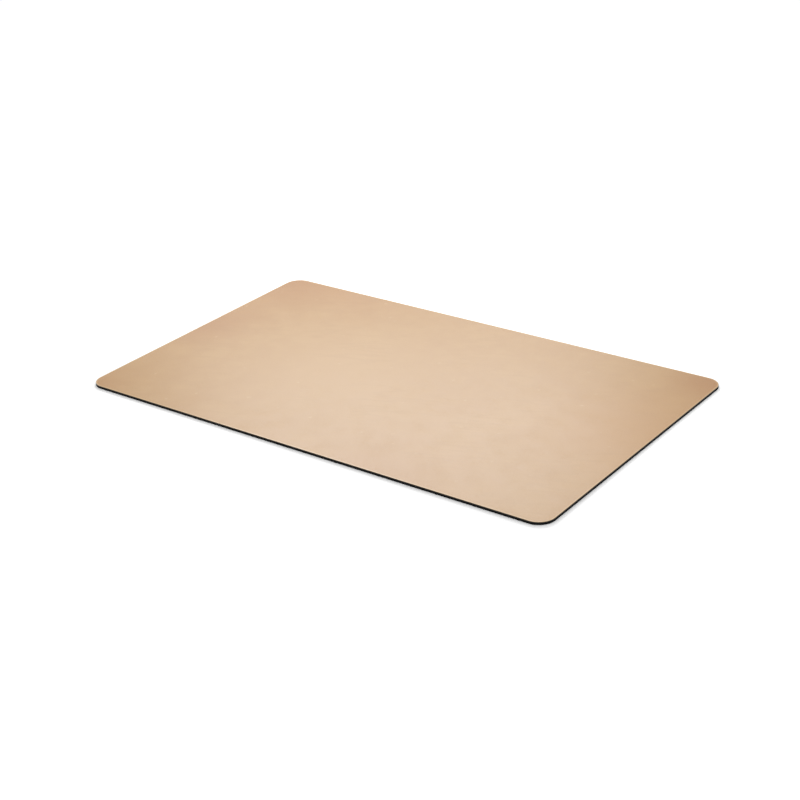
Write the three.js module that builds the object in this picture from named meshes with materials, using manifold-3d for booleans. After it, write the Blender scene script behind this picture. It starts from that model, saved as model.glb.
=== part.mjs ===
// Desk-size mouse pad: a tan leather face bonded to a black sponge-rubber base.
// Millimetres, +Z up. The origin is the middle of the underside, and X runs along the long side.
import * as THREE from "three";
import { mergeVertices } from "three/addons/utils/BufferGeometryUtils.js";
import Module from "manifold-3d";

const wasm = await Module();
wasm.setup();

// Outline: the layers are bonded as sheets and then cut out together by one die, so they share it.
const PAD_LENGTH = 660;
const PAD_WIDTH = 400;
const CORNER_RADIUS = 20;

// Layers, from the desk up.
const BASE_THICKNESS = 2.5;
const FILM_THICKNESS = 0.1;
const LEATHER_THICKNESS = 1;
const BOND_GAP = 0.01; // between bonded faces, so that no two layers share a plane

// Rims: the leather is burnished round along its upper edge, and the rubber is eased along its lower one.
const LEATHER_RIM_RADIUS = 0.3;
const BASE_RIM_RADIUS = 0.3;

// How finely the round stretches are drawn, and how far a raw plate runs past its layer before trimming.
const CORNER_STEPS = 12;
const RIM_STEPS = 4;
const TRIM_MARGIN = 5;

// Heights of the undersides of the layers above the base.
const FILM_BOTTOM = BASE_THICKNESS + BOND_GAP;
const LEATHER_BOTTOM = FILM_BOTTOM + FILM_THICKNESS + BOND_GAP;

const QUARTER_TURN = Math.PI / 2;

// The die's outline: a rectangle with four equal round corners, drawn anticlockwise from the front right.
function padOutline() {
  const radius = Math.min(CORNER_RADIUS, PAD_LENGTH / 2, PAD_WIDTH / 2);
  const centreX = PAD_LENGTH / 2 - radius;
  const centreY = PAD_WIDTH / 2 - radius;
  const outline = new THREE.Shape();
  outline.absarc(centreX, -centreY, radius, -QUARTER_TURN, 0);
  outline.absarc(centreX, centreY, radius, 0, QUARTER_TURN);
  outline.absarc(-centreX, centreY, radius, QUARTER_TURN, 2 * QUARTER_TURN);
  outline.absarc(-centreX, -centreY, radius, 2 * QUARTER_TURN, 3 * QUARTER_TURN);
  outline.closePath();
  return outline;
}

function solidFromGeometry(geometry) {
  const bare = geometry.clone();
  bare.deleteAttribute("normal");
  bare.deleteAttribute("uv");
  const merged = mergeVertices(bare);
  const vertProperties = new Float32Array(merged.attributes.position.array);
  const triVerts = new Uint32Array(merged.index.array);
  return new wasm.Manifold(new wasm.Mesh({ numProp: 3, vertProperties, triVerts }));
}

function geometryFromSolid(solid) {
  const mesh = solid.getMesh();
  const geometry = new THREE.BufferGeometry();
  geometry.setAttribute("position", new THREE.BufferAttribute(mesh.vertProperties, 3));
  geometry.setIndex(new THREE.BufferAttribute(mesh.triVerts, 1));
  geometry.computeVertexNormals();
  return geometry;
}

// A layer with square edges, standing on z = 0.
function squarePlate(thickness) {
  return new THREE.ExtrudeGeometry(padOutline(), {
    depth: thickness,
    bevelEnabled: false,
    curveSegments: CORNER_STEPS,
  });
}

// A layer standing on z = 0 with one of its two rims rounded. It starts as a taller plate that is round at
// both ends, and the end that stays square is trimmed away.
function plateWithRoundRim(thickness, rimRadius, rimIsOnTop) {
  const radius = Math.min(rimRadius, thickness);
  const wallHeight = thickness - radius + TRIM_MARGIN;
  const rawPlate = new THREE.ExtrudeGeometry(padOutline(), {
    depth: wallHeight,
    bevelThickness: radius,
    bevelSize: radius,
    bevelOffset: -radius,
    bevelSegments: RIM_STEPS,
    curveSegments: CORNER_STEPS,
  });
  rawPlate.translate(0, 0, rimIsOnTop ? -TRIM_MARGIN : radius);

  const trimHeight = radius + 2 * TRIM_MARGIN;
  const trim = new THREE.BoxGeometry(
    PAD_LENGTH + 2 * TRIM_MARGIN,
    PAD_WIDTH + 2 * TRIM_MARGIN,
    trimHeight,
  );
  trim.translate(0, 0, rimIsOnTop ? -trimHeight / 2 : thickness + trimHeight / 2);
  return geometryFromSolid(solidFromGeometry(rawPlate).subtract(solidFromGeometry(trim)));
}

function layer(name, geometry, bottom, finish) {
  const mesh = new THREE.Mesh(geometry, new THREE.MeshStandardMaterial(finish));
  mesh.name = name;
  mesh.position.z = bottom;
  return mesh;
}

// Black sponge rubber that grips the desk.
const rubberBase = layer("rubber_base", plateWithRoundRim(BASE_THICKNESS, BASE_RIM_RADIUS, false), 0, {
  color: 0x18181a,
  roughness: 0.85,
  metalness: 0,
});

// Double-sided bonding film, cut flush with the sheets that it holds together.
const adhesiveFilm = layer("adhesive_film", squarePlate(FILM_THICKNESS), FILM_BOTTOM, {
  color: 0xb9a88c,
  roughness: 0.4,
  metalness: 0,
});

// Smooth vegetable-tanned leather, the face that the mouse runs on.
const leatherFace = layer(
  "leather_face",
  plateWithRoundRim(LEATHER_THICKNESS, LEATHER_RIM_RADIUS, true),
  LEATHER_BOTTOM,
  { color: 0xc09765, roughness: 0.38, metalness: 0 },
);

const mousePad = new THREE.Group();
mousePad.name = "mouse_pad";
mousePad.add(rubberBase, adhesiveFilm, leatherFace);

export default mousePad;
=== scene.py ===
import math

import bmesh
import bpy
from mathutils import Matrix, Vector, noise


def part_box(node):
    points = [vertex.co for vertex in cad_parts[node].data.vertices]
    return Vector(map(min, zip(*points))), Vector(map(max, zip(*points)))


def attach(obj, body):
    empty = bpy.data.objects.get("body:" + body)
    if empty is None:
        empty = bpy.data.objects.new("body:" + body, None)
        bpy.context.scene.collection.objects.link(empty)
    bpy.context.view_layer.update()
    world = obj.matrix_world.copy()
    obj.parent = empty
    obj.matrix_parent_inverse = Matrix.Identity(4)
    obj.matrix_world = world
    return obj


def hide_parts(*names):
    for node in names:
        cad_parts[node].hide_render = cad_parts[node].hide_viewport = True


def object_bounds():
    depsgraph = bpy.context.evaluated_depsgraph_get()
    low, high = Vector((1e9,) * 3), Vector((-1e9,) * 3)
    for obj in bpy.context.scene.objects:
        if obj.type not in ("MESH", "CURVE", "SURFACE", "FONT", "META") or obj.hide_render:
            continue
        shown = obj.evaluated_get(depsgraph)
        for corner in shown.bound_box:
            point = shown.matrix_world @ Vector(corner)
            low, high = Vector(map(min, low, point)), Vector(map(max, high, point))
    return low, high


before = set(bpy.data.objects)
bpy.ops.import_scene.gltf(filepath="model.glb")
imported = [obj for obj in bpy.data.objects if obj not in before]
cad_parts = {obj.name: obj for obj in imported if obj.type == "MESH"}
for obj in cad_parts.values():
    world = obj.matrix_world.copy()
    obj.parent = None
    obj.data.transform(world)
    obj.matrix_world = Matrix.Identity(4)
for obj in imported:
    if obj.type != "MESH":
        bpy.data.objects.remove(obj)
solid_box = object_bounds()


# Rubber base: the black sponge-rubber sheet that grips the table.
# It is cured in a press whose plate leaves shallow wavy ribs underneath. A steel rule die then cuts it
# out together with the layers bonded on top of it, so its edge stands upright and shows open cells.
base_low, base_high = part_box("rubber_base")
half_length = base_high.x
half_width = base_high.y
CORNER_RADIUS = 0.020
HALF_CORNER_STEPS = 12
SHARP_ANGLE = math.radians(40)

BAKE_MAP = "OFBake"  # the name of the flat map that a piece's finish is baked through
MAP_GAP = 0.004  # round each row of the map
SIDE_WEIGHT = 1  # how the map's height is shared out: to each side of the cut edge,
HIDDEN_WEIGHT = 2  # to a face that is bonded over
SEEN_WEIGHT = 18  # and to one that shows

BASE_RIM_RADIUS = 0.0003
BASE_RIM_STEPS = 4
BASE_WAIST = 0.00008  # how far the soft edge draws in at half height once the die has left it
BASE_WAIST_STEPS = 6
BASE_LONG_STEPS = 110

GRIP_BORDER = 0.006  # plain margin round the ribs
GRIP_FADE = 0.015  # over which the ribs swing out of line, going in from the margin
ROWS_PER_RIB = 4
RIB_PITCH = 0.006
GROOVE_DEPTH = 0.00025
RIB_WAVE_LENGTH = 0.060
RIB_SWING = 0.0025


def cut_side(side, inset, straight_steps):
    """One side of the die's outline, moved in by inset, from the middle of one corner to the next."""
    radius = CORNER_RADIUS - inset
    reach = Vector((half_length - CORNER_RADIUS, half_width - CORNER_RADIUS))
    signs = ((-1, -1), (1, -1), (1, 1), (-1, 1))
    here, there = (Vector(signs[corner % 4]) * reach for corner in (side, side + 1))
    eighth_turn = math.pi / 4
    start = eighth_turn * (5 + 2 * side)  # the front side leaves the front left corner at five eighths

    def spoke(share):
        angle = start + eighth_turn * share
        return radius * Vector((math.cos(angle), math.sin(angle)))

    turns = [step / HALF_CORNER_STEPS for step in range(HALF_CORNER_STEPS)]
    leaving = [here + spoke(turn) for turn in turns]
    straight = [here.lerp(there, step / straight_steps) + spoke(1) for step in range(straight_steps)]
    arriving = [there + spoke(1 + turn) for turn in turns]
    return leaving + straight + arriving


def cut_line(inset, steps):
    """The four sides of the die's outline in turn: front, right, back and left."""
    long_steps, short_steps = steps
    return [cut_side(side, inset, (long_steps, short_steps)[side % 2]) for side in range(4)]


def face_grid(sides):
    """Points all over a face whose four sides are given, in rows from the front to the back."""
    front = sides[0] + sides[1][:1]
    right = sides[1] + sides[2][:1]
    back = (sides[2] + sides[3][:1])[::-1]
    left = (sides[3] + sides[0][:1])[::-1]
    rows = []
    for row in range(len(left)):
        v = row / (len(left) - 1)
        line = []
        for column in range(len(front)):
            u = column / (len(front) - 1)
            across = front[column] * (1 - v) + back[column] * v
            along = left[row] * (1 - u) + right[row] * u
            near = front[0] * (1 - u) + front[-1] * u
            far = back[0] * (1 - u) + back[-1] * u
            line.append(across + along - near * (1 - v) - far * v)
        rows.append(line)
    return rows


def map_rows(weights):
    """The lower and upper ends of rows that share the height of the bake map by these weights."""
    ends = [sum(weights[:row]) / sum(weights) for row in range(len(weights) + 1)]
    return [(low + MAP_GAP, high - MAP_GAP) for low, high in zip(ends, ends[1:])]


def on_row(row, u, v):
    """The place on the bake map that is these shares of the way along a row and up it."""
    low, high = row
    return MAP_GAP + (1 - 2 * MAP_GAP) * u, low + (high - low) * v


def mapped_face(build, corners, places):
    """Adds a face with these corners, each with its place on the bake map."""
    face = build.faces.new(corners)
    for corner, place in zip(face.loops, places):
        corner[build.loops.layers.uv[BAKE_MAP]].uv = place


def die_cut_sheet(name, edge, steps, top=None, underside=None):
    """A closed sheet of the die's outline. edge lists the inset and height of each line round it, from
    its top face down its cut edge to its underside. top and underside place the points of a face's grid
    from a column, a row and a flat point, and a face without one is a single flat polygon, bonded over.
    The bake map has a row for each side of the cut edge, unrolled, and one for each face."""
    build = bmesh.new()
    build.loops.layers.uv.new(BAKE_MAP)
    face_weights = [HIDDEN_WEIGHT if place is None else SEEN_WEIGHT for place in (top, underside)]
    *side_rows, top_row, underside_row = map_rows([SIDE_WEIGHT] * 4 + face_weights)
    lines = []
    for inset, height in edge:
        points = sum(cut_line(inset, steps), [])
        lines.append([build.verts.new((*point, height)) for point in points])
    count = len(lines[0])
    spans = []  # from each point round the outline to the next: the side's row, and the shares along it
    for row, side in zip(side_rows, cut_line(0, steps)):
        spans += [(row, step / len(side), (step + 1) / len(side)) for step in range(len(side))]
    drops = [math.dist(*ends) for ends in zip(edge, edge[1:])]
    for band, (upper, lower) in enumerate(zip(lines, lines[1:])):
        high, low = (sum(drops[first:]) / sum(drops) for first in (band, band + 1))
        for here, (row, start, end) in enumerate(spans):
            there = (here + 1) % count
            corners = (upper[here], lower[here], lower[there], upper[there])
            shares = ((start, high), (start, low), (end, low), (end, high))
            mapped_face(build, corners, [on_row(row, *share) for share in shares])

    def flat_face(corners, turned, row):
        """Adds a face of the top or, turned over, of the underside."""
        corners = corners[::-1] if turned else corners
        shares = [((1 + vert.co.x / half_length) / 2, (1 + vert.co.y / half_width) / 2) for vert in corners]
        mapped_face(build, corners, [on_row(row, u, 1 - v if turned else v) for u, v in shares])

    faces = (
        (lines[0], edge[0][0], top, False, top_row),
        (lines[-1], edge[-1][0], underside, True, underside_row),
    )
    for line, inset, place, turned, map_row in faces:
        if place is None:
            flat_face(line, turned, map_row)
            continue
        grid = face_grid(cut_line(inset, steps))
        last_row, last_column = len(grid) - 1, len(grid[0]) - 1
        rim = {}
        for column in range(last_column + 1):
            rim[column, 0] = line[column]
            rim[last_column - column, last_row] = line[last_column + last_row + column]
        for row in range(last_row + 1):
            rim[last_column, row] = line[last_column + row]
            rim[0, last_row - row] = line[(2 * last_column + last_row + row) % count]
        verts = []
        for row, points in enumerate(grid):
            placed = [rim.get((column, row)) for column in range(len(points))]
            for column, point in enumerate(points):
                placed[column] = placed[column] or build.verts.new(place(column, row, point))
            verts.append(placed)
        for row in range(last_row):
            for column in range(last_column):
                corners = (
                    verts[row][column],
                    verts[row][column + 1],
                    verts[row + 1][column + 1],
                    verts[row + 1][column],
                )
                flat_face(corners, turned, map_row)

    mesh = bpy.data.meshes.new(name)
    build.to_mesh(mesh)
    build.free()
    mesh.shade_smooth()
    mesh.set_sharp_from_angle(angle=SHARP_ANGLE)
    piece = bpy.data.objects.new(name, mesh)
    bpy.context.collection.objects.link(piece)
    return piece


def rim_arc(radius, steps):
    """Insets and drops of a quarter-round rim, from its flat face out to its upright edge."""
    turns = [math.pi / 2 * step / steps for step in range(steps + 1)]
    return [(radius * (1 - math.sin(turn)), radius * (1 - math.cos(turn))) for turn in turns]


def cut_inset(point):
    """How far in from the die's outline a point of a face lies."""
    past_x = abs(point.x) - (half_length - CORNER_RADIUS)
    past_y = abs(point.y) - (half_width - CORNER_RADIUS)
    from_corner = math.hypot(max(past_x, 0), max(past_y, 0))
    return CORNER_RADIUS - from_corner - min(max(past_x, past_y), 0)


def smooth_step(value):
    """The value held between 0 and 1, and eased so that it has no kink at either end."""
    value = min(max(value, 0), 1)
    return value * value * (3 - 2 * value)


def ribbed_underside(column, row, point):
    """Places a point of the underside, in rows of flat ribs and grooves that wave along the pad."""
    swing = RIB_SWING * smooth_step((cut_inset(point) - GRIP_BORDER) / GRIP_FADE)
    groove = GROOVE_DEPTH if row % ROWS_PER_RIB >= ROWS_PER_RIB / 2 else 0
    wave = math.sin(2 * math.pi * point.x / RIB_WAVE_LENGTH)
    return point.x, point.y + swing * wave, base_low.z + groove


base_height = base_high.z - base_low.z
rib_rows = round(2 * (half_width - CORNER_RADIUS) / RIB_PITCH) * ROWS_PER_RIB
waist_height = base_height - BASE_RIM_RADIUS
base_edge = []
for step in range(BASE_WAIST_STEPS):
    share = step / BASE_WAIST_STEPS
    base_edge.append((BASE_WAIST * math.sin(math.pi * share), base_high.z - waist_height * share))
base_rim = rim_arc(BASE_RIM_RADIUS, BASE_RIM_STEPS)[::-1]
base_edge += [(inset, base_low.z + drop) for inset, drop in base_rim]
base_edge.append((GRIP_BORDER, base_low.z))
rubber_base = die_cut_sheet(
    "rubber_base_sheet", base_edge, (BASE_LONG_STEPS, rib_rows), underside=ribbed_underside
)


class Signal:
    """A socket of a node tree. Arithmetic on signals adds the Math nodes that work it out."""

    def __init__(self, socket):
        self.socket = socket

    def maths(self, operation, *terms):
        """What a Math node makes of these terms."""
        node = self.socket.id_data.nodes.new("ShaderNodeMath")
        node.operation = operation
        for slot, term in zip(node.inputs, terms):
            plug(slot, term)
        return Signal(node.outputs[0])

    def __add__(self, other):
        return self.maths("ADD", self, other)

    __radd__ = __add__

    def __sub__(self, other):
        return self.maths("SUBTRACT", self, other)

    def __rsub__(self, other):
        return self.maths("SUBTRACT", other, self)

    def __mul__(self, other):
        return self.maths("MULTIPLY", self, other)

    __rmul__ = __mul__

    def __truediv__(self, other):
        return self.maths("DIVIDE", self, other)

    def __rtruediv__(self, other):
        return self.maths("DIVIDE", other, self)

    def __pow__(self, other):
        return self.maths("POWER", self, other)

    def __rpow__(self, other):
        return self.maths("POWER", other, self)

    def __abs__(self):
        return self.maths("ABSOLUTE", self)

    def least(self, other):
        return self.maths("MINIMUM", self, other)

    def most(self, other):
        return self.maths("MAXIMUM", self, other)


def plug(slot, value):
    """Links a signal to a node's socket, or sets the socket to a number, vector or colour."""
    if isinstance(value, Signal):
        slot.id_data.links.new(value.socket, slot)
    elif slot.type == "RGBA":
        slot.default_value = (*value, 1)
    else:
        slot.default_value = value


class Finish:
    """The node tree of a material or of the world, with the one way to add a node to it."""

    MIDDLE = 0.5  # of what soft random patches range over

    def __init__(self, owner):
        owner.use_nodes = True
        self.owner = owner
        self.tree = owner.node_tree
        self.tree.nodes.clear()

    def node(self, kind, settings=None, inputs=None, output=None):
        """Adds a node of this kind, sets it up, fills its inputs and gives one of its outputs."""
        made = self.tree.nodes.new(kind)
        for name, value in (settings or {}).items():
            setattr(made, name, value)
        for name, value in (inputs or {}).items():
            plug(self.pick(made.inputs, name), value)
        if not made.outputs:
            return None
        return Signal(self.pick(made.outputs, output) if output else made.outputs[0])

    @staticmethod
    def pick(sockets, name):
        """The socket with this identifier or, where there is none, with this name."""
        return next((socket for socket in sockets if socket.identifier == name), None) or sockets[name]

    def spot(self):
        """Where a point lies, in metres from the origin."""
        return self.node("ShaderNodeTexCoord", output="Object")

    def vectors(self, operation, *terms, output="Vector"):
        """What a Vector Math node makes of these terms."""
        inputs = dict(zip(("Vector", "Vector_001", "Vector_002"), terms))
        return self.node("ShaderNodeVectorMath", {"operation": operation}, inputs, output)

    def clouds(self, spot, size, detail=2):
        """Soft random patches about as wide as size, from 0 to 1."""
        inputs = {"Vector": spot, "Scale": 1 / size, "Detail": detail}
        return self.node("ShaderNodeTexNoise", {}, inputs, "Fac")

    def cells(self, spot, size, feature="F1", dimensions="3D"):
        """How far a point is from the middle of its random cell or, by feature, from the cell's wall.
        The cells are about as wide as size, and a distance is a share of it."""
        settings = {"feature": feature, "voronoi_dimensions": dimensions}
        inputs = {"Vector": spot, "Scale": 1 / size}
        return self.node("ShaderNodeTexVoronoi", settings, inputs, "Distance")

    def ease(self, value, start, end):
        """0 before start, 1 after end and smooth between them."""
        inputs = {"Value": value, "From Min": start, "From Max": end}
        return self.node("ShaderNodeMapRange", {"interpolation_type": "SMOOTHSTEP"}, inputs)

    def stirred(self, spot, size, amount):
        """The spot pushed to and fro by up to amount, in swirls about as wide as size."""
        swirl = self.node("ShaderNodeTexNoise", {}, {"Vector": spot, "Scale": 1 / size}, "Color")
        push = self.vectors("SUBTRACT", swirl, (self.MIDDLE,) * 3)
        return self.vectors("MULTIPLY_ADD", push, (2 * amount,) * 3, spot)

    def counted(self, spot, sizes, slant=0):
        """The spot counted in these three sizes along axes turned by slant, which draws patches out."""
        inputs = {"Vector": spot, "Rotation": (0, 0, slant), "Scale": sizes}
        return self.node("ShaderNodeMapping", {"vector_type": "TEXTURE"}, inputs)

    def blend(self, share, first, second):
        """The first colour where share is 0, the second where it is 1, and mixed between."""
        inputs = {"Factor_Float": share, "A_Color": first, "B_Color": second}
        return self.node("ShaderNodeMix", {"data_type": "RGBA"}, inputs, "Result_Color")

    def raised(self, height):
        """The normal of a surface with this relief, in metres."""
        return self.node("ShaderNodeBump", {}, {"Height": height, "Distance": 1.0, "Strength": 1.0})

    def coat(self, piece, **sockets):
        """Finishes the piece with a plain dielectric surface of these values."""
        inputs = {name.replace("_", " "): value for name, value in sockets.items()}
        surface = self.node("ShaderNodeBsdfPrincipled", {}, inputs, "BSDF")
        self.node("ShaderNodeOutputMaterial", {}, {"Surface": surface})
        piece.data.materials.append(self.owner)


def from_cut_edge(finish, spot):
    """How far in from the die's outline a point lies, in metres."""
    x, y = (finish.node("ShaderNodeSeparateXYZ", {}, {"Vector": spot}, axis) for axis in "XY")
    past_x = abs(x) - (half_length - CORNER_RADIUS)
    past_y = abs(y) - (half_width - CORNER_RADIUS)
    from_corner = (past_x.most(0) ** 2 + past_y.most(0) ** 2) ** 0.5
    return CORNER_RADIUS - from_corner - past_x.most(past_y).least(0)


RUBBER_BLACK = (0.0040, 0.0040, 0.0045)
RUBBER_GREY = (0.0150, 0.0150, 0.0160)
RUBBER_GLOSS = 0.08
SKIN_RANGE = (0.0003, 0.0008)  # in from the cut edge, where the pressed skin closes the cells
SKIN_ROUGHNESS = 0.62
CUT_ROUGHNESS = 0.85
SKIN_SHARE = 0.7
BLOOM_SIZE = 0.030  # of the faint grey patches that rubber sweats out with time
BLOOM_RANGE = (0.45, 0.75)
BLOOM_SHARE = 0.4
BLOOM_ROUGHNESS = 0.10
SPONGE_CELL = 0.00035
SPONGE_BUBBLE = 0.0011  # the few larger cells among them
CELL_WALL_RANGE = (0.15, 0.50)
BUBBLE_WALL_RANGE = (0.10, 0.30)
CELL_WALL_SHARE = 0.3
CELL_DEPTH = 0.00008

rubber = Finish(bpy.data.materials.new("black_sponge_rubber"))
spot = rubber.spot()
inset = from_cut_edge(rubber, spot)
skin = rubber.ease(inset, *SKIN_RANGE)
bloom = rubber.ease(rubber.clouds(spot, BLOOM_SIZE, detail=4), *BLOOM_RANGE)
cell_walls = rubber.ease(rubber.cells(spot, SPONGE_CELL), *CELL_WALL_RANGE)
bubble_walls = rubber.ease(rubber.cells(spot, SPONGE_BUBBLE), *BUBBLE_WALL_RANGE)
# The cells are left darker than their walls, and the cut edge darker than the pressed skin: painted shade
# in the open cells, beside the skin's own paler grey.
walls = (cell_walls * bubble_walls).most(skin)
grey = bloom * BLOOM_SHARE + walls * CELL_WALL_SHARE + skin * SKIN_SHARE
rubber.coat(
    rubber_base,
    Base_Color=rubber.blend(grey.least(1), RUBBER_BLACK, RUBBER_GREY),
    Roughness=CUT_ROUGHNESS + skin * (SKIN_ROUGHNESS - CUT_ROUGHNESS) + bloom * BLOOM_ROUGHNESS,
    Specular_IOR_Level=RUBBER_GLOSS,
    Normal=rubber.raised(walls * CELL_DEPTH),
)
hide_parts("rubber_base")
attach(rubber_base, "root")


# Bonding film: the thin double-sided adhesive sheet that holds the leather to the rubber.
# It is rolled on as a whole sheet and cut flush by the same die, so only its edge is ever seen: a
# hairline that bulges a trace where the press squeezed it, and that the edge dressing stains.
film_low, film_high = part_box("adhesive_film")
FILM_STEPS = (66, 40)
FILM_SQUEEZE = 0.00003

film_middle = (film_low.z + film_high.z) / 2
film_edge = [(FILM_SQUEEZE, film_high.z), (0, film_middle), (FILM_SQUEEZE, film_low.z)]
bonding_film = die_cut_sheet("bonding_film_sheet", film_edge, FILM_STEPS)

FILM_AMBER = (0.430, 0.335, 0.205)
FILM_PALE = (0.540, 0.450, 0.320)
FILM_STAINED = (0.030, 0.019, 0.012)
FILM_STAIN_DEPTH = 0.0004
FILM_STREAK = 0.004
FILM_STREAK_DEPTH = 0.00003
FILM_ROUGHNESS = 0.30
STREAK_ROUGHNESS = 0.20

film = Finish(bpy.data.materials.new("amber_bonding_film"))
spot = film.spot()
inset = from_cut_edge(film, spot)
streaks = film.clouds(spot, FILM_STREAK, detail=4)
amber = film.blend(streaks, FILM_AMBER, FILM_PALE)
film.coat(
    bonding_film,
    Base_Color=film.blend(film.ease(inset, 0, FILM_STAIN_DEPTH), FILM_STAINED, amber),
    Roughness=FILM_ROUGHNESS + streaks * STREAK_ROUGHNESS,
    Normal=film.raised(streaks * FILM_STREAK_DEPTH),
)
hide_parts("adhesive_film")
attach(bonding_film, "root")


# Leather face: one smooth piece of tan vegetable-tanned hide, the surface that the mouse runs on.
# It is bonded grain side up and cut with the rest. The die rolls its upper edge over a little, and the
# cut edge is then dressed: stained dark like the rubber below it, and rubbed until its fibres close.
leather_low, leather_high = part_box("leather_face")
LEATHER_STEPS = (124, 72)
LEATHER_RIM_RADIUS = 0.0003
LEATHER_RIM_STEPS = 6
DIE_ROLL_WIDTH = 0.003
DIE_ROLL_DROP = 0.00006
DIE_ROLL_STEPS = 5
HIDE_SWELL = 0.00005  # how far the hide rises and falls from its mean, which lies this far below the top
HIDE_SWELL_SIZE = 0.090
HIDE_SWELL_FADE = 0.030


def hide_surface(column, row, point):
    """Places a point of the face, which rises and falls a trace with the hide's own unevenness."""
    fade = smooth_step((cut_inset(point) - DIE_ROLL_WIDTH) / HIDE_SWELL_FADE)
    swell = noise.noise(Vector((point.x, point.y, 0)) / HIDE_SWELL_SIZE) - 1
    return point.x, point.y, leather_high.z + HIDE_SWELL * swell * fade


leather_edge = []
for step in range(DIE_ROLL_STEPS):
    share = step / DIE_ROLL_STEPS
    inset = DIE_ROLL_WIDTH + (LEATHER_RIM_RADIUS - DIE_ROLL_WIDTH) * share
    leather_edge.append((inset, leather_high.z - DIE_ROLL_DROP * share**2))
for inset, drop in rim_arc(LEATHER_RIM_RADIUS, LEATHER_RIM_STEPS):
    leather_edge.append((inset, leather_high.z - DIE_ROLL_DROP - drop))
leather_edge.append((0, leather_low.z))
leather_face = die_cut_sheet("leather_face_sheet", leather_edge, LEATHER_STEPS, top=hide_surface)

# Tone: pale and deep tan in slow drifts and finer mottle, with russet flushes.
TAN_PALE = (0.546, 0.330, 0.142)
TAN_DEEP = (0.510, 0.296, 0.122)
DRIFT_SIZE = 0.110
MOTTLE_SIZE = 0.026
TONE_RANGE = (0.30, 0.70)
TAN_RUSSET = (0.502, 0.280, 0.106)
FLUSH_SIZE = 0.070
FLUSH_RANGE = (0.50, 0.75)
FLUSH_SHARE = 0.35

# Painted shade and sheen by place. The brown spots along the left end, in the far corners and faintly at
# the front are painted shade where the softbox's sheen falls away, and the light spot left of the middle is
# painted sheen. The ruddy spot towards the right is the hide's own tone. Each spot has its place, as shares
# of half the length and width, its reach, its depth and its colour.
TAN_PAINTED_SHADE = (0.460, 0.232, 0.091)
TAN_PAINTED_SHEEN = (0.560, 0.345, 0.155)
TAN_RUDDY = (0.572, 0.320, 0.134)
SHADE_SHEEN_AND_TAN_SPOTS = (
    (1.0, 1.0, 0.090, 1.00, TAN_PAINTED_SHADE),
    (-1.0, 1.0, 0.160, 0.90, TAN_PAINTED_SHADE),
    (-0.6, 1.0, 0.110, 0.40, TAN_PAINTED_SHADE),
    (-1.0, 0.1, 0.110, 0.75, TAN_PAINTED_SHADE),
    (-1.0, -1.0, 0.070, 0.50, TAN_PAINTED_SHADE),
    (0.35, -1.0, 0.140, 0.30, TAN_PAINTED_SHADE),
    (-0.3, 0.0, 0.180, 0.70, TAN_PAINTED_SHEEN),
    (1.0, 0.2, 0.200, 0.65, TAN_RUDDY),
)
SPOT_WANDER = 0.012

TAN_FLECK = (0.590, 0.390, 0.195)  # small pale marks that the hide healed over
FLECK_SPACING = 0.060
FLECK_RANGE = (0.008, 0.042)
FLECK_FADE_RANGE = (0.35, 0.60)  # of the mottle, with which they come and go
FLECK_STIR_SIZE = 0.003
FLECK_STIR = 0.0032
FLECK_SHARE = 0.60

# Grain: pores, growth lines, cells parted by furrows, and fine fibres.
TAN_HOLLOW_SHADE = (0.390, 0.217, 0.087)
PORE_SPACING = 0.0016
PORE_RANGE = (0.10, 0.30)
PORE_SHADE_SHARE = 0.22
PORE_DEPTH = 0.000012
GROWTH_LENGTH = 0.110  # of the faint lines where the hide once folded
GROWTH_WIDTH = 0.018
GROWTH_SLANT = math.radians(24)
GROWTH_RANGE = (0.90, 1.0)
GROWTH_PATCH_RANGE = (0.42, 0.62)
GROWTH_SHADE_SHARE = 0.10
GROWTH_DEPTH = 0.000012
GRAIN_CELL = 0.0011
GRAIN_SWIRL = 0.0033
GRAIN_STIR = 0.0004
FURROW_SWIRL = 0.0009  # how the furrows between the grains waver
FURROW_STIR = 0.00016
FURROW_RANGE = (0, 0.26)
FURROW_PATCH = 0.024
FURROW_PATCH_RANGE = (0.10, 0.90)
FURROW_DEPTH = 0.000020
FIBRE_SIZE = 0.0005
FIBRE_DEPTH = 0.000009
LEATHER_ROUGHNESS = 0.34
MOTTLE_ROUGHNESS = 0.05
LEATHER_GLOSS = 0.3

TAN_PAINTED_RIM_HIGHLIGHT = (0.700, 0.480, 0.250)  # the rim's pale line, a painted highlight
RIM_RUB_AND_HIGHLIGHT_WIDTH = 0.0028
RIM_HIGHLIGHT_SHARE = 0.9
RIM_ROUGHNESS = 0.30
EDGE_DRESSED = (0.012, 0.008, 0.006)
EDGE_BARE = (0.060, 0.034, 0.019)
EDGE_LAYER = (0.004, 0.004, 0.00025)  # the hide's fibres lie in flat layers
EDGE_LAYER_RANGE = (0.45, 0.75)
EDGE_LAYER_DEPTH = 0.00003
DRESSING_REACH = (0.00005, 0.00035)  # how far the dark dressing creeps in over the rim
DRESSING_WANDER = 0.00012

leather = Finish(bpy.data.materials.new("tan_natural_leather"))
spot = leather.spot()
inset = from_cut_edge(leather, spot)
drifts = leather.clouds(spot, DRIFT_SIZE)
mottle = leather.clouds(spot, MOTTLE_SIZE, detail=4)
tan = leather.blend(leather.ease((drifts + mottle) / 2, *TONE_RANGE), TAN_DEEP, TAN_PALE)
flush = leather.ease(leather.clouds(spot, FLUSH_SIZE, detail=3), *FLUSH_RANGE)
tan = leather.blend(flush * FLUSH_SHARE, tan, TAN_RUSSET)

wandering = leather.stirred(spot, MOTTLE_SIZE, SPOT_WANDER)
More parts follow.
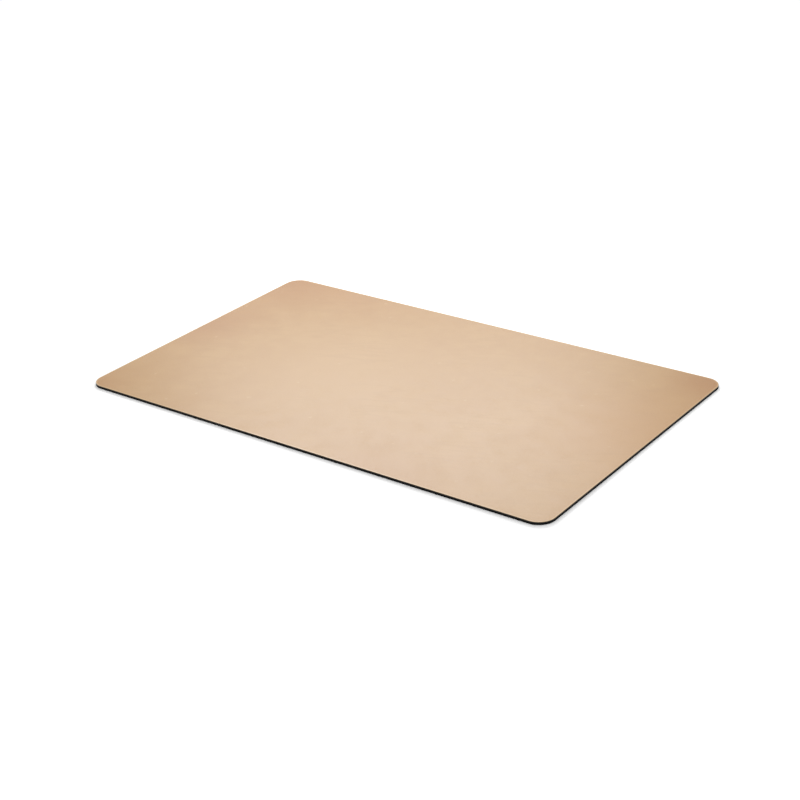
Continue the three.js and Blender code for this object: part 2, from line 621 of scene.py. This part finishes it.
# Painted shade and painted sheen from the spots go into the leather's colour here, with the ruddy tone.
for along, across, reach, depth, spot_shade_sheen_and_tan in SHADE_SHEEN_AND_TAN_SPOTS:
    middle = (along * half_length, across * half_width, leather_high.z)
    apart = leather.vectors("DISTANCE", wandering, middle, output="Value")
    tan = leather.blend((1 - leather.ease(apart, 0, reach)) * depth, tan, spot_shade_sheen_and_tan)

fleck_spot = leather.stirred(spot, FLECK_STIR_SIZE, FLECK_STIR)
fleck_cells = leather.cells(fleck_spot, FLECK_SPACING, dimensions="2D")
flecks = (1 - leather.ease(fleck_cells, *FLECK_RANGE)) * leather.ease(mottle, *FLECK_FADE_RANGE)
tan = leather.blend(flecks * FLECK_SHARE, tan, TAN_FLECK)

grain_spot = leather.stirred(spot, GRAIN_SWIRL, GRAIN_STIR)
wavering = leather.stirred(grain_spot, FURROW_SWIRL, FURROW_STIR)
grains = leather.cells(wavering, GRAIN_CELL, "DISTANCE_TO_EDGE", "2D")
deep_patches = leather.ease(leather.clouds(spot, FURROW_PATCH), *FURROW_PATCH_RANGE)
furrows = (1 - leather.ease(grains, *FURROW_RANGE)) * deep_patches
pores = 1 - leather.ease(leather.cells(grain_spot, PORE_SPACING, dimensions="2D"), *PORE_RANGE)
fold_spot = leather.counted(spot, (GROWTH_LENGTH, GROWTH_WIDTH, GROWTH_WIDTH), GROWTH_SLANT)
folds = 1 - abs(leather.clouds(fold_spot, 1, detail=3) * 2 - 1)
growth = leather.ease(folds, *GROWTH_RANGE) * leather.ease(drifts, *GROWTH_PATCH_RANGE)
fibres = leather.clouds(spot, FIBRE_SIZE, detail=3)
# Pores and growth lines are darkened in colour as well as sunk: painted shade in these hollows.
tan = leather.blend(pores * PORE_SHADE_SHARE + growth * GROWTH_SHADE_SHARE, tan, TAN_HOLLOW_SHADE)

# The pale line round the rim is a painted highlight. Rubbing there only makes the rim smoother.
rim_rub_and_highlight = 1 - leather.ease(inset, 0, RIM_RUB_AND_HIGHLIGHT_WIDTH)
tan = leather.blend(rim_rub_and_highlight * RIM_HIGHLIGHT_SHARE, tan, TAN_PAINTED_RIM_HIGHLIGHT)
dressing = 1 - leather.ease(inset + (fibres - leather.MIDDLE) * DRESSING_WANDER, *DRESSING_REACH)
layers = leather.ease(leather.clouds(leather.counted(spot, EDGE_LAYER), 1, detail=4), *EDGE_LAYER_RANGE)
edge = leather.blend(layers, EDGE_DRESSED, EDGE_BARE)
sheen = LEATHER_ROUGHNESS + mottle * MOTTLE_ROUGHNESS
hollows = furrows * FURROW_DEPTH + pores * PORE_DEPTH + growth * GROWTH_DEPTH
relief = fibres * FIBRE_DEPTH - hollows + layers * dressing * EDGE_LAYER_DEPTH
leather.coat(
    leather_face,
    Base_Color=leather.blend(dressing, tan, edge),
    Roughness=sheen + rim_rub_and_highlight * (RIM_ROUGHNESS - sheen),
    Specular_IOR_Level=LEATHER_GLOSS,
    Normal=leather.raised(relief),
)
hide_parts("leather_face")
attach(leather_face, "root")


# Floor: a wide sheet of white studio paper under the pad.
# It takes the pad's shadow and shows white to the lens elsewhere. It is shown more strongly further out,
# where the softbox no longer reaches it, which paints the pad's shadow lighter and narrower away from the
# middle of the front edge, so that it is deepest along the front: painted light on the shadow.
FLOOR_HALF_SIZE = 6.0
FLOOR_STEPS = 4
PAPER_WHITE = (0.90, 0.90, 0.90)
PAPER_SEEN_NEAR = (1.22, 1.22, 1.22)
PAPER_SEEN_FAR = (1.42, 1.42, 1.42)
PAPER_SEEN_RANGE = (0.29, 0.44)  # from the middle of the pad's front edge
floor_build = bmesh.new()
bmesh.ops.create_grid(floor_build, x_segments=FLOOR_STEPS, y_segments=FLOOR_STEPS, size=FLOOR_HALF_SIZE)
floor_mesh = bpy.data.meshes.new("studio_paper")
floor_build.to_mesh(floor_mesh)
floor_build.free()
studio_paper = bpy.data.objects.new("studio_paper", floor_mesh)
studio_paper.location.z = solid_box[0].z
bpy.context.collection.objects.link(studio_paper)


def shown(finish):
    """1 on rays that make the picture, straight, mirrored or refracted, and 0 on those that light it."""
    rays = ("Is Camera Ray", "Is Glossy Ray", "Is Transmission Ray")
    straight, mirrored, refracted = (finish.node("ShaderNodeLightPath", output=ray) for ray in rays)
    return (straight + mirrored + refracted).least(1)


paper = Finish(bpy.data.materials.new("white_paper"))
# The brighter showing further out is painted light on the pad's shadow as well as white for the far paper.
from_front = paper.vectors("DISTANCE", paper.spot(), (0, -half_width, 0), output="Value")
outward_and_shadow_lift = paper.ease(from_front, *PAPER_SEEN_RANGE)
paper_seen_and_shadow_lift = paper.blend(outward_and_shadow_lift, PAPER_SEEN_NEAR, PAPER_SEEN_FAR)
paper_tone = paper.blend(shown(paper), PAPER_WHITE, paper_seen_and_shadow_lift)
matt = paper.node("ShaderNodeBsdfDiffuse", {}, {"Color": paper_tone})
paper.node("ShaderNodeOutputMaterial", {}, {"Surface": matt})
studio_paper.data.materials.append(paper.owner)


# Light: a white room that is even all round, and one long strip softbox low behind the pad.
# The softbox faces the lens across the pad, so its soft reflection makes the sheen on the leather.
VIEW_AZIMUTH = math.radians(37.71)
SOFTBOX_ELEVATION = math.radians(32.8)
SOFTBOX_DISTANCE = 1.5
SOFTBOX_SIZE = (0.90, 0.10)
SOFTBOX_WATTS = 9.9
ROOM_WHITE = (1, 1, 1)
ROOM_LIGHT = 0.715
ROOM_SEEN = 1  # the strength that shows as white


def towards(azimuth, elevation):
    """The direction from the pad at this azimuth, counted from the front towards the right."""
    level = math.cos(elevation)
    return Vector((math.sin(azimuth) * level, -math.cos(azimuth) * level, math.sin(elevation)))


softbox_light = bpy.data.lights.new("back_softbox", "AREA")
softbox_light.shape = "RECTANGLE"
softbox_light.size, softbox_light.size_y = SOFTBOX_SIZE
softbox_light.energy = SOFTBOX_WATTS
softbox = bpy.data.objects.new("back_softbox", softbox_light)
aim = towards(VIEW_AZIMUTH + math.pi, SOFTBOX_ELEVATION)
softbox.location = aim * SOFTBOX_DISTANCE
softbox.rotation_euler = aim.to_track_quat("Z", "Y").to_euler()
softbox.visible_camera = False
bpy.context.collection.objects.link(softbox)

room = bpy.data.worlds.new("white_room")
bpy.context.scene.world = room
air = Finish(room)
brightness = ROOM_LIGHT + shown(air) * (ROOM_SEEN - ROOM_LIGHT)
even_light = air.node("ShaderNodeBackground", {}, {"Color": ROOM_WHITE, "Strength": brightness})
air.node("ShaderNodeOutputWorld", {}, {"Surface": even_light})
bpy.context.scene.view_settings.view_transform = "Standard"


# Camera: a long lens on a full-frame sensor, looking down over the pad's front right corner.
# It is tilted sideways a little.
VIEW_ELEVATION = math.radians(25.78)
VIEW_ROLL = math.radians(-2.88)
VIEW_DISTANCE = 1.976
VIEW_TARGET = Vector((0.02889, -0.04044, solid_box[1].z))
LENS_MM = 75.24
SENSOR_MM = 36.0

back = towards(VIEW_AZIMUTH, VIEW_ELEVATION)
right = Vector((math.cos(VIEW_AZIMUTH), math.sin(VIEW_AZIMUTH), 0))
up = back.cross(right)
rolled_right = right * math.cos(VIEW_ROLL) + up * math.sin(VIEW_ROLL)
rolled_up = up * math.cos(VIEW_ROLL) - right * math.sin(VIEW_ROLL)
pose = Matrix((rolled_right, rolled_up, back)).transposed().to_4x4()
pose.translation = VIEW_TARGET + back * VIEW_DISTANCE
lens = bpy.data.cameras.new("lens")
lens.lens = LENS_MM
lens.sensor_width = SENSOR_MM
camera = bpy.data.objects.new("camera", lens)
camera.matrix_world = pose
bpy.context.collection.objects.link(camera)
bpy.context.scene.camera = camera
